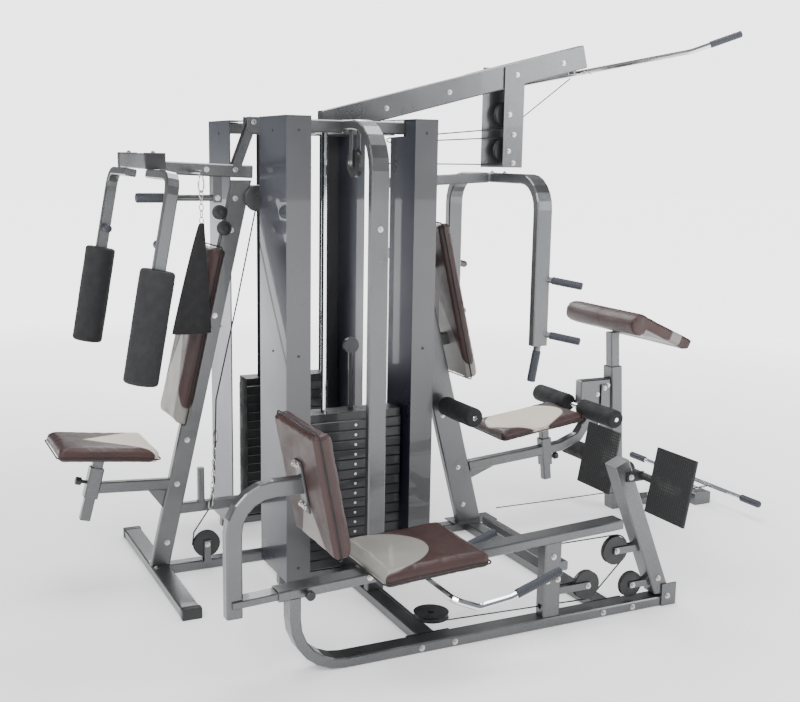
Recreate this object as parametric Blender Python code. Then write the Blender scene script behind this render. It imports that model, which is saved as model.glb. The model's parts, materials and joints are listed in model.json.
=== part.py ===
import bpy
import bmesh
from math import asin, cos, pi, radians, sin, tan
from mathutils import Matrix, Vector

for item in list(bpy.data.objects):
    bpy.data.objects.remove(item, do_unlink=True)

# Driving dimensions, in metres. X runs along the machine, Y across it, Z up.
gap = 0.0003                 # between pieces that touch
inset = 0.0005               # keeps welded tubes off each other's faces
chamfer = 0.005              # corner of a square tube
tube_wide = 0.080
tube_thin = 0.040
floor_height = 0.045         # tubes that lie on the floor
sheet = 0.003                # cover sheet
plate = 0.006                # lugs and brackets

spine_left = -0.757
spine_right = 0.860
spine_wide = 0.060
foot_bar_length = 1.126
cross_left_x = -0.020        # arch, cross tube and cable run on this line
cross_right_x = 0.820
cross_back_y = 0.600

tower_height = 2.056
tower_half = 0.345           # half width of the top frame
cover_depth = 0.338
cover_wide = 0.110
column_x = 0.270
top_low = 1.990
top_high = 2.045
stack_front_y = -0.330
stack_rear_y = 0.540
arch_y = -0.650
arch_radius = 0.190

stack_half = 0.220           # half length of a weight plate
stack_depth = 0.065          # half depth of a weight plate
pitch = 0.045                # height of one weight plate
rest_plates = 11
lifted_plates = 4
guide_x = 0.130
guide_radius = 0.0125
stack_floor = 0.062

press_y = -1.185             # plane of the leg press station
base_right = 1.160
base_high = 0.042
rail_lean = radians(2.75)
lever_lean = radians(22.4)
post_lean = radians(13.0)    # left post
right_lean = radians(14.6)   # right post
pulley_radius = 0.062
pulley_half = 0.011
cable_radius = 0.003

left_post_x = -0.797
left_post_wide = 0.085
left_post_thin = 0.040
back_thick = 0.065
right_post_wide = 0.130
right_back_thick = 0.060
slide_wide = 0.066           # inner tube of the front seat rail
slide_thin = 0.028
preacher_wide = 0.055
beam_deep = 0.112

# Joint axes and pulley centres.
press_pivot = Vector((-0.347, 0, 2.035))
strap_hook = Vector((-0.630, -0.180, 1.816))
lever_pivot = Vector((1.120, press_y, 0.025))
plate_pivot = Vector((0.883, press_y, 0.600))
lever_pulley = Vector((0.850, press_y, 0.274))
post_pulley = Vector((0.710, press_y, 0.143))
floor_pulley = Vector((0.022, press_y + pulley_radius + 0.014, 0.100))
left_pulley = Vector((-0.588, -0.040, 0.129))
arch_pulley = Vector((cross_left_x, -0.400, 1.865))
u_arm_pivot = Vector((0.920, 0, 1.800))
lat_pulley_high = Vector((0.962, 0, 2.106))
lat_pulley_low = Vector((0.962, 0, 1.930))
leg_pivot = Vector((1.613, 0, 0.688))
row_bar_end = Vector((2.300, -0.520, 0.095))

materials = {}


def paint(name, colour, roughness, metallic):
    material = bpy.data.materials.new(name)
    material.use_nodes = True
    shader = material.node_tree.nodes["Principled BSDF"]
    shader.inputs["Base Color"].default_value = (*colour, 1)
    shader.inputs["Roughness"].default_value = roughness
    shader.inputs["Metallic"].default_value = metallic
    material.diffuse_color = (*colour, 1)
    materials[name] = material


paint("frame", (0.42, 0.43, 0.43), 0.35, 0.6)
paint("cover", (0.05, 0.06, 0.09), 0.4, 0.3)
paint("weight", (0.06, 0.06, 0.065), 0.5, 0.4)
paint("chrome", (0.8, 0.8, 0.82), 0.12, 1.0)
paint("maroon", (0.13, 0.03, 0.025), 0.45, 0.0)
paint("foam", (0.02, 0.02, 0.022), 0.8, 0.0)
paint("rubber", (0.03, 0.03, 0.04), 0.6, 0.0)
paint("plastic", (0.02, 0.02, 0.02), 0.4, 0.0)
paint("cable", (0.03, 0.03, 0.03), 0.4, 0.0)


def place(name, mesh, material, pivot=(0, 0, 0), smooth=False):
    mesh.transform(Matrix.Translation(-Vector(pivot)))
    mesh.materials.append(materials[material])
    if smooth:
        mesh.shade_smooth()
        mesh.set_sharp_from_angle(angle=radians(35))
    thing = bpy.data.objects.new(name, mesh)
    thing.location = pivot
    bpy.context.collection.objects.link(thing)
    return thing


def to_mesh(shape, name="piece"):
    bmesh.ops.recalc_face_normals(shape, faces=shape.faces)
    mesh = bpy.data.meshes.new(name)
    shape.to_mesh(mesh)
    shape.free()
    return mesh


def loft(rings):
    shape = bmesh.new()
    rows = [[shape.verts.new(point) for point in ring] for ring in rings]
    for low, high in zip(rows, rows[1:]):
        for i, corner in enumerate(low):
            after = (i + 1) % len(low)
            shape.faces.new((corner, low[after], high[after], high[i]))
    shape.faces.new(rows[0])
    shape.faces.new(rows[-1])
    return to_mesh(shape)


# A square tube along a path in one plane. across is normal to that plane.
def tube(points, across, wide, thin, start_cut=None, end_cut=None, corner=chamfer):
    path = [Vector(point) for point in points]
    side = Vector(across).normalized()
    u, v = wide / 2, thin / 2
    c = corner
    section = [(u - c, -v), (u, c - v), (u, v - c), (u - c, v),
               (c - u, v), (-u, v - c), (-u, c - v), (c - u, -v)]
    rings = []
    for i, point in enumerate(path):
        before = (point - path[i - 1]).normalized() if i else None
        after = (path[i + 1] - point).normalized() if i < len(path) - 1 else None
        run = after or before
        face = (run + (before or run)).normalized()
        if i == 0 and start_cut:
            face = Vector(start_cut)
        if after is None and end_cut:
            face = Vector(end_cut)
        up = run.cross(side).normalized()
        ring = []
        for a, b in section:
            corner_point = point + side * a + up * b
            corner_point += run * ((point - corner_point).dot(face) / run.dot(face))
            ring.append(corner_point)
        rings.append(ring)
    return loft(rings)


# Replaces each inner corner of a path with an arc of the given radius.
def rounded(points, radius, steps=4):
    path = [Vector(point) for point in points]
    result = [path[0]]
    for start, corner, end in zip(path, path[1:], path[2:]):
        back = (start - corner).normalized()
        ahead = (end - corner).normalized()
        half = back.angle(ahead) / 2
        reach = radius / tan(half)
        centre = corner + (back + ahead).normalized() * (radius / sin(half))
        first = corner + back * reach - centre
        last = corner + ahead * reach - centre
        turn = first.angle(last)
        axis = first.cross(last).normalized()
        for step in range(steps + 1):
            result.append(centre + Matrix.Rotation(turn * step / steps, 3, axis) @ first)
    result.append(path[-1])
    return result


def block(x, y, z, corner=0.0):
    shape = bmesh.new()
    size = Vector((x[1] - x[0], y[1] - y[0], z[1] - z[0]))
    middle = Vector((sum(x) / 2, sum(y) / 2, sum(z) / 2))
    bmesh.ops.create_cube(shape, size=1, matrix=Matrix.Translation(middle) @ Matrix.Diagonal((*size, 1)))
    if corner:
        bmesh.ops.bevel(shape, geom=shape.edges[:], offset=corner, segments=1, affect="EDGES")
    return to_mesh(shape)


# A soft pad: a box with rounded edges, tilted about Y.
def cushion(centre, size, tilt, corner=0.018):
    shape = bmesh.new()
    bmesh.ops.create_cube(shape, size=1, matrix=Matrix.Diagonal((*size, 1)))
    bmesh.ops.bevel(shape, geom=shape.edges[:], offset=corner, segments=2, profile=0.5, affect="EDGES")
    shape.transform(Matrix.Translation(centre) @ Matrix.Rotation(tilt, 4, "Y"))
    return to_mesh(shape)


# A turned piece: profile holds (distance along the axis, radius) pairs.
def turned(start, axis, profile, sides=16):
    turn = Vector((0, 0, 1)).rotation_difference(Vector(axis).normalized()).to_matrix()
    rings = []
    for along, radius in profile:
        angles = [2 * pi * i / sides for i in range(sides)]
        ring = [Vector((radius * cos(angle), radius * sin(angle), along)) for angle in angles]
        rings.append([Vector(start) + turn @ point for point in ring])
    return loft(rings)


def rod(start, end, radius, sides=12):
    axis = Vector(end) - Vector(start)
    return turned(start, axis, [(0, radius), (axis.length, radius)], sides)


def slab(outline, direction, start, length):
    base = [Vector(point) + Vector(direction) * start for point in outline]
    top = [point + Vector(direction) * length for point in base]
    return loft([base, top])


def combine(thing, meshes, operation):
    for count, mesh in enumerate(meshes, 1):
        helper = bpy.data.objects.new(f"{thing.name}_{operation.lower()}_{count}", mesh)
        helper.hide_render = True
        helper.display_type = "WIRE"
        bpy.context.collection.objects.link(helper)
        modifier = thing.modifiers.new(helper.name, "BOOLEAN")
        modifier.operation = operation
        modifier.object = helper
        modifier.solver = "EXACT"
    return thing


def weld(name, meshes, material, pivot=(0, 0, 0), cuts=()):
    thing = place(name, meshes[0], material)
    combine(thing, meshes[1:], "UNION")
    combine(thing, cuts, "DIFFERENCE")
    return pivoted(thing, pivot)


# Moves an object's origin to its joint without moving its shape or its helpers.
def pivoted(thing, pivot):
    thing.data.transform(Matrix.Translation(-Vector(pivot)))
    thing.location = pivot
    return thing


def cable(name, points, radius=cable_radius):
    curve = bpy.data.curves.new(name, "CURVE")
    curve.dimensions = "3D"
    curve.bevel_depth = radius
    curve.bevel_resolution = 2
    curve.use_fill_caps = True
    line = curve.splines.new("POLY")
    line.points.add(len(points) - 1)
    for spot, point in zip(line.points, points):
        spot.co = (*point, 1)
    curve.materials.append(materials["cable"])
    thing = bpy.data.objects.new(name, curve)
    bpy.context.collection.objects.link(thing)
    return thing


def pulley(name, centre, axis, radius=pulley_radius):
    lip = 0.006
    half = pulley_half
    profile = [(-half - 0.004, 0.012), (-half, 0.012), (-half, radius), (-0.004, radius - lip)]
    profile += [(0.004, radius - lip), (half, radius), (half, 0.012), (half + 0.004, 0.012)]
    return place(name, turned(centre, axis, profile, 20), "plastic", centre, smooth=True)


# A pair of plates that carries a pulley: in the XZ plane, from point to point.
def fork(start, end, half_gap, thick=0.004, height=0.030):
    pair = []
    for sign in (-1, 1):
        offset = Vector((0, sign * (half_gap + thick / 2), 0))
        ends = [Vector(start) + offset, Vector(end) + offset]
        pair.append(tube(ends, (0, 1, 0), thick, height, corner=0.0005))
    return pair


def piped(name, points, radius, material):
    thing = cable(name, points, radius)
    thing.data.materials.clear()
    thing.data.materials.append(materials[material])
    return thing


# A bar along X or Y on the floor or overhead, given its middle height.
def bar(start, end, across, wide, thin, corner=chamfer):
    return tube([start, end], across, wide, thin, corner=corner)


def floor_frame():
    middle = floor_height / 2
    low = floor_height - 2 * inset
    cross_front_y = press_y + tube_wide / 2 + gap
    foot_edge = spine_left - 0.003 + gap
    pieces = [bar((foot_edge, 0, middle), (spine_right - inset, 0, middle), (0, 1, 0), spine_wide, floor_height)]
    for x, back in ((cross_left_x, cross_back_y), (cross_right_x, 0.0)):
        pieces.append(bar((x, cross_front_y, middle), (x, back, middle), (1, 0, 0), tube_wide, low))
        flange = [x - 0.085, x + 0.105]
        pieces.append(block(flange, [cross_front_y, cross_front_y + plate], [0.002, low - 0.002]))
    for y in (stack_front_y, stack_rear_y):
        pieces.append(bar((-tower_half, y, middle), (tower_half, y, middle), (0, 1, 0), 0.040, low - 2 * inset))
    x, y, z = left_pulley
    pieces.append(block([x - 0.022, x + 0.022], [y - 0.020, y + 0.020], [low - 0.002, low + 0.006]))
    pieces += [block([x - 0.015, x + 0.015], [y + side - 0.002, y + side + 0.002], [low, z + 0.018])
               for side in (-0.0175, 0.0175)]
    weld("floor_frame", pieces, "frame")
    foot_x = spine_left - 0.003 - tube_wide / 2
    half = foot_bar_length / 2
    foot = bar((foot_x, -half, middle), (foot_x, half, middle), (1, 0, 0), tube_wide, floor_height)
    place("left_foot_bar", foot, "frame")


def arch():
    high = top_high - tube_thin / 2
    x = cross_left_x
    path = [(x, arch_y, floor_height + gap), (x, arch_y, high), (x, stack_front_y - 0.030 - gap, high)]
    pieces = [tube(rounded(path, arch_radius, 6), (1, 0, 0), tube_wide, tube_thin)]
    _, y, z = arch_pulley
    pieces += [block([x + side - 0.002, x + side + 0.002], [y - 0.018, y + 0.018], [z - 0.018, high - 0.010])
               for side in (-0.0175, 0.0175)]
    weld("arch_tube", pieces, "frame")
    pulley("arch_pulley", arch_pulley, (1, 0, 0))


def top_frame():
    middle = (top_low + top_high) / 2
    deep = top_high - top_low
    pieces = [bar((cross_left_x, stack_front_y - 0.030, middle), (cross_left_x, stack_rear_y + 0.030, middle),
                  (1, 0, 0), tube_wide, deep)]
    for y in (stack_front_y, stack_rear_y):
        pieces.append(bar((-tower_half, y, middle), (tower_half, y, middle), (0, 1, 0), 0.040, deep - 2 * inset))
    spine_end = press_pivot[0] + 0.047
    pieces.append(bar((spine_end, 0, middle), (tower_half, 0, middle), (0, 1, 0), spine_wide, deep - 4 * inset))
    for side in (-1, 1):
        x = side * column_x
        bottom = floor_height + gap
        pieces.append(tube([(x, 0, bottom), (x, 0, middle)], (0, 1, 0), 0.040, 0.040))
        pieces.append(block([press_pivot[0] - 0.028, spine_end + 0.020],
                            sorted([side * 0.0275, side * 0.0335]), [top_low + 0.003, top_high + 0.012]))
    press_tube = [(column_x, 0, 1.770), (u_arm_pivot[0] - 0.060, 0, 1.800)]
    pieces.append(tube(press_tube, (0, 1, 0), 0.048, 0.048))
    weld("top_frame", pieces, "frame")


def covers():
    shell_low = floor_height + 0.005
    for name, side, front in (("near_left", -1, True), ("near_right", 1, True),
                              ("far_left", -1, False), ("far_right", 1, False)):
        inner = tower_half + 0.005 - cover_wide
        outer = tower_half + 0.005
        x = sorted([side * inner, side * outer])
        y = [-0.456, -0.456 + cover_depth] if front else [0.320, 0.320 + cover_depth]
        high = tower_height if front else tower_height - 0.006
        walls = [x[0] + sheet, x[1] - sheet]
        hollow_y = [y[0] + sheet, y[1] + 0.02] if front else [y[0] - 0.02, y[1] - sheet]
        if side < 0:
            walls[1] = x[1] + 0.02
        elif not front:
            walls[0] = x[0] - 0.02
        cuts = [block(walls, hollow_y, [shell_low - 0.02, high - sheet])]
        if name == "near_right":
            cuts.append(block([x[0] - 0.01, x[0] + 0.01], [stack_front_y - 0.030, hollow_y[1]],
                              [top_low - 0.010, high - sheet]))
            cuts.append(block([x[0] - 0.01, x[0] + 0.01], [y[0] + 0.250, hollow_y[1]], [0, high - sheet]))
        weld(f"cover_{name}", [block(x, y, [shell_low, high])], "cover", cuts=cuts)


# The outline of a pile of plates, with a groove where one plate meets the next.
def plate_pile(y, bottom, count, top_height=0.0):
    depth, groove = stack_depth, 0.004
    edge = []
    for number in range(count):
        low = bottom + number * pitch
        edge += [(depth - groove, low), (depth, low + groove), (depth, low + pitch - groove)]
        edge.append((depth - groove, low + pitch - inset))
    if top_height:
        low = bottom + count * pitch
        edge += [(depth - 0.010, low + inset), (depth - 0.010, low + top_height)]
    outline = [(-stack_half, y + along, z) for along, z in edge]
    outline += [(-stack_half, y - along, z) for along, z in reversed(edge)]
    return slab(outline, (1, 0, 0), 0, 2 * stack_half)


def guide_holes(y, low, high):
    return [rod((x, y, low), (x, y, high), guide_radius + 0.002, 16) for x in (-guide_x, guide_x)]


def weight_stack(name, y, ring_height, separate_guides):
    rest_top = stack_floor + rest_plates * pitch
    lift_low = rest_top + gap
    lift_top = lift_low + lifted_plates * pitch + 0.036
    rods = [rod((x, y, floor_height), (x, y, top_low), guide_radius) for x in (-guide_x, guide_x)]
    foot = block([-0.160, 0.160], [y - 0.014, y + 0.014], [floor_height + 0.001, stack_floor - 0.001])
    resting = plate_pile(y, stack_floor, rest_plates)
    if separate_guides:
        weld(f"{name}_guides", [foot] + rods, "chrome")
        weld(f"{name}_rest_plates", [resting], "weight", cuts=guide_holes(y, 0, 1))
    else:
        weld(f"{name}_rest_plates", [resting] + rods, "weight")
    stem = rod((0, y, lift_low + 0.010), (0, y, ring_height), 0.011)
    ring = turned((0, y - 0.010, ring_height + 0.030), (0, 1, 0), [(0, 0.036), (0.020, 0.036)], 16)
    pile = plate_pile(y, lift_low, lifted_plates, 0.036)
    holes = guide_holes(y, lift_low - 0.01, lift_top + 0.01)
    weld(f"{name}_lift_plates", [pile, stem, ring], "weight", (0, y, lift_low), holes)


def upward(lean):
    return Vector((sin(lean), 0, cos(lean)))


# Where the line from start towards end meets the plane through spot.
def meet(start, end, spot, normal):
    run = Vector(end) - Vector(start)
    return Vector(start) + run * ((Vector(spot) - Vector(start)).dot(normal) / run.dot(normal))


# A pull pin: a short shaft with a round head, drawn out along its axis.
def pull_knob(name, start, axis):
    profile = [(gap, 0.008), (0.022, 0.008), (0.022, 0.014), (0.026, 0.018), (0.044, 0.018), (0.048, 0.014)]
    place(name, turned(start, axis, profile, 14), "plastic", start, smooth=True)


# A seat on a post that slides in a sleeve. Returns the sleeve and the bore that is cut in it.
def sliding_seat(name, axis_spot, lean, sleeve_z, post_low, pad_centre, pad_size, pad_tilt, knob_side, knob_z):
    up = upward(lean)
    foot = Vector(axis_spot)

    def at(z):
        return foot + up * ((z - foot.z) / up.z)

    wide, thin = 0.045, 0.040
    wall = 0.0075
    pad_normal = upward(pad_tilt)
    pad_low = Vector(pad_centre) - pad_normal * (pad_size[2] / 2 + gap)
    top = meet(at(0), at(1), pad_low, pad_normal)
    post = tube([at(post_low), top], (0, 1, 0), thin, wide, end_cut=pad_normal)
    place(f"{name}_seat_post", post, "frame", at(sleeve_z[1]))
    place(f"{name}_seat_pad", cushion(pad_centre, pad_size, pad_tilt), "maroon", pad_centre)
    sleeve = tube([at(sleeve_z[0]), at(sleeve_z[1])], (0, 1, 0), thin + 2 * wall, wide + 2 * wall)
    bore_ends = [at(sleeve_z[0] - 0.05), at(sleeve_z[1] + 0.05)]
    bore = tube(bore_ends, (0, 1, 0), thin + 2 * gap, wide + 2 * gap, corner=0.004)
    outward = Vector((up.z, 0, -up.x)) * knob_side
    pull_knob(f"{name}_seat_knob", at(knob_z) + outward * (wide / 2 + wall), outward)
    return sleeve, bore


def left_station():
    foot = Vector((left_post_x, 0, floor_height + gap))
    up = upward(post_lean)

    def at(z):
        return foot + up * ((z - foot.z) / up.z)

    level = (0, 0, 1)
    post = tube([foot, at(1.780)], (0, 1, 0), left_post_thin, left_post_wide, level, level)
    column_face = -column_x - 0.020 - gap
    sleeve, bore = sliding_seat("left", (-1.0817, 0, 0.465), radians(14.7), (0.400, 0.530), 0.300,
                                (-1.0375, 0, 0.6185), (0.437, 0.360, 0.053), radians(6.0), -1, 0.462)
    arm = tube([at(0.420) + Vector((-0.010, 0, 0)), (-1.070, 0, 0.440)], (0, 1, 0), 0.036, 0.050)
    low_tie = tube([at(0.300), (column_face, 0, 0.300)], (0, 1, 0), 0.036, 0.048)
    top_tie = tube([at(1.735), (column_face, 0, 1.735)], (0, 1, 0), 0.036, 0.048)
    stub = tube([(-0.600, 0, 0.310), (-0.600, 0, 0.480)], (0, 1, 0), 0.030, 0.030)
    corners = [(-0.735, -0.003, 0.400), (-0.860, -0.003, 0.425), (-0.755, -0.003, 0.280)]
    gusset = slab(corners, (0, 1, 0), 0, plate)
    weld("left_post", [post, arm, low_tie, top_tie, stub, gusset, sleeve], "frame", cuts=[bore])
    normal = Vector((-up.z, 0, up.x))
    centre = at(1.090) + normal * (left_post_wide / 2 + gap + back_thick / 2)
    place("left_back_pad", cushion(centre, (back_thick, 0.300, 0.800), post_lean), "maroon", centre)
    pulley("left_low_pulley", left_pulley, (0, 1, 0))


def press_arms():
    x, _, z = press_pivot
    beam_left = Vector((-0.810, 0, 1.834))
    beam_right = Vector((x - 0.003, 0, 1.817))
    beam = tube([beam_left, beam_right], (0, 1, 0), 0.050, 0.056)
    up = (press_pivot - Vector((-0.420, 0, 1.846))).normalized()
    links = fork(Vector((-0.420, 0, 1.846)) - up * 0.020, press_pivot + up * 0.018, 0.0205, plate, 0.038)
    pin = rod((x, -0.0262, z), (x, 0.0262, z), 0.009)
    cross = tube([(-0.842, -0.265, 1.860), (-0.842, 0.265, 1.860)], (1, 0, 0), tube_wide, 0.064)
    hanger = block([-0.530, -0.490], [-0.018, 0.018], [1.682, 1.810])
    low_bar = rod((-0.520, 0, 1.702), (-0.855, 0, 1.702), 0.014)
    grip = rod((-0.740, 0, 1.702), (-0.864, 0, 1.702), 0.019)
    hook = rod((strap_hook.x, -0.020, strap_hook.z), (strap_hook.x, strap_hook.y - 0.012, strap_hook.z), 0.008)
    weld("press_beam", [beam] + links + [pin, cross, hanger, low_bar, grip, hook], "frame", press_pivot)
    for name, side in (("near", -1), ("far", 1)):
        pec_arm(name, side)
    low = strap_hook.z - 0.0085
    strap = [(-0.006, 1.580), (0.006, 1.580), (0.036, 1.180), (0.036, 1.130), (-0.134, 1.130), (-0.134, 1.180)]
    outline = [(strap_hook.x + along, strap_hook.y - 0.005, height) for along, height in strap]
    clip = rod((strap_hook.x, strap_hook.y, 1.570), (strap_hook.x, strap_hook.y, low), 0.0045, 8)
    weld("ab_strap", [slab(outline, (0, 1, 0), 0, 0.010), clip], "foam", (strap_hook.x, strap_hook.y, low))


def pec_arm(name, side):
    thin, wide = 0.035, 0.050
    down = Vector((-0.148, 0, -0.790)).normalized()
    half_height = -down.z * thin / 2 - down.x * wide / 2
    pivot = Vector((-0.842, side * 0.225, 1.8277 - half_height))
    reach = side * 0.557
    corner = Vector((pivot.x, reach, pivot.z))
    foam_top = corner + down * ((corner.z - 1.450) / -down.z)
    across = Vector((-down.z, 0, down.x))
    path = [pivot - Vector((0, side * 0.035, 0)), corner, foam_top]
    arm = tube(rounded(path, 0.070), across, wide, thin)
    peg = corner + down * ((corner.z - 1.540) / -down.z)
    grip = rod(peg - Vector((0, side * 0.010, 0)), peg - Vector((0, side * 0.088, 0)), 0.015)
    weld(f"pec_arm_{name}", [arm, grip], "frame", pivot)
    length, radius = 0.455, 0.070
    profile = [(gap, radius - 0.014), (0.014, radius), (length - 0.014, radius), (length, radius - 0.014)]
    place(f"pec_foam_{name}", turned(foam_top, down, profile, 20), "foam", foam_top, smooth=True)


def rail_height(x):
    return 0.303 + tan(rail_lean) * (x + 0.645)


def front_station():
    y = press_y
    side = (0, 1, 0)
    slope = Vector((cos(rail_lean), 0, sin(rail_lean)))
    normal = Vector((-slope.z, 0, slope.x))
    rail_mid = tube_thin / 2 / cos(rail_lean)

    def rail_at(x):
        return Vector((x, y, rail_height(x) + rail_mid))

    middle = base_high / 2
    turn_x = -0.595
    path = [(base_right, y, middle), (turn_x, y, middle), (turn_x, y, rail_height(turn_x) + 0.002)]
    base = tube(rounded(path, 0.200, 6), side, tube_wide, base_high, end_cut=normal)
    post_foot = base_high - 0.002
    post = tube([(0.525, y, post_foot), (0.525, y, rail_height(0.525) + 0.002)], side, 0.060, 0.080, end_cut=normal)
    rail = tube([rail_at(-0.660), rail_at(0.860)], side, tube_wide, tube_thin)
    arm = tube([(0.583, -1.205, 0.250), (0.583, -0.570, 0.250)], (1, 0, 0), 0.040, 0.040)
    lugs = []
    for sign in (-1, 1):
        edge = sorted([y + sign * (tube_wide / 2 - 0.0005), y + sign * (tube_wide / 2 + 0.0065)])
        lugs.append(block([lever_pivot.x - 0.040, lever_pivot.x + 0.036], edge, [0.002, 0.100]))
    handle_seat = block([-0.070, -0.030], [y - 0.020, y + 0.020], [0.3043, 0.345])
    carrier = fork((0.555, y, post_pulley[2]), (post_pulley[0] + 0.012, y, post_pulley[2]), 0.0155)
    pocket_ends = [rail_at(-0.700), rail_at(-0.440)]
    pocket = tube(pocket_ends, side, slide_wide + 2 * gap, slide_thin + 2 * gap, corner=0.003)
    slot = rod((0.470, y, 0.0835), (0.580, y, 0.0835), 0.012)
    pieces = [base, rail, post, arm, handle_seat] + lugs + carrier
    weld("front_frame", pieces, "frame", cuts=[pocket, slot])
    pull_knob("front_knob", (-0.553, y - tube_wide / 2, rail_at(-0.553).z), (0, -1, 0))

    back_lean = radians(-11)
    face = upward(back_lean)
    out = Vector((face.z, 0, -face.x))
    centre = Vector((-0.520, y, 0.725))
    thick = 0.065
    place("front_back_pad", cushion(centre, (thick, 0.430, 0.479), back_lean), "maroon", centre)
    mount = centre - out * (thick / 2 + gap + 0.004)
    bracket = tube([mount - face * 0.100, mount + face * 0.100], side, 0.060, 0.008, corner=0.001)
    bent = [(-0.820, y, 0.262), (-0.820, y, 0.725), (mount.x, y, 0.725)]
    curved = tube(rounded(bent, 0.150, 5), side, 0.050, 0.060, end_cut=out)
    inner = tube([rail_at(-0.830), rail_at(-0.560)], side, slide_wide, slide_thin, corner=0.003)
    weld("back_support", [inner, curved, bracket], "frame", rail_at(-0.660))

    pad_size = (0.450, 0.430, 0.055)
    seat = rail_at(-0.095) + normal * (tube_thin / 2 + gap + pad_size[2] / 2)
    place("front_seat_pad", cushion(seat, pad_size, -rail_lean), "maroon", seat)
    near, far = y - 0.245, y + 0.245
    half = [(0.410, 0.334), (0.190, 0.262), (0.050, 0.247), (-0.050, 0.290)]
    path = [(x, near, z) for x, z in half] + [(x, far, z) for x, z in reversed(half)]
    piped("front_handle", rounded(path, 0.030, 3), 0.0135, "chrome")


def leg_press():
    y = press_y
    side = (0, 1, 0)
    half = tube_wide / 2 - 0.001
    top = Vector((0.840, y, 0.660))
    foot = top + Vector((sin(lever_lean), 0, -cos(lever_lean))) * 0.650
    lever = tube([top, foot], side, 2 * half, 0.075, end_cut=(0, 0, 1))
    carrier = fork((0.975, y, lever_pulley[2]), (lever_pulley[0] - 0.012, y, lever_pulley[2]), 0.0155)
    weld("press_lever", [lever] + carrier, "frame", lever_pivot)
    bar_x = 0.942
    plates = []
    for middle, wide in ((-1.430, 0.240), (-0.945, 0.230)):
        plates.append(tube([(0.900, middle, 0.476), (0.950, middle, 0.742)], side, wide, 0.012, corner=0.002))
    cross = rod((bar_x, -1.500, plate_pivot.z), (bar_x, -0.880, plate_pivot.z), 0.016)
    cheeks = []
    for sign in (-1, 1):
        edge = sorted([y + sign * (half + 0.0015), y + sign * (half + 0.0075)])
        height = [plate_pivot.z - 0.020, plate_pivot.z + 0.020]
        cheeks.append(block([plate_pivot.x - 0.020, bar_x + 0.004], edge, height))
    weld("footplates", [cross] + plates + cheeks, "rubber", plate_pivot)
    pulley("lever_pulley", lever_pulley, side)
    pulley("post_pulley", post_pulley, side)
    pulley("floor_pulley", floor_pulley, (0, 0, 1), pulley_radius + 0.010)


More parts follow.
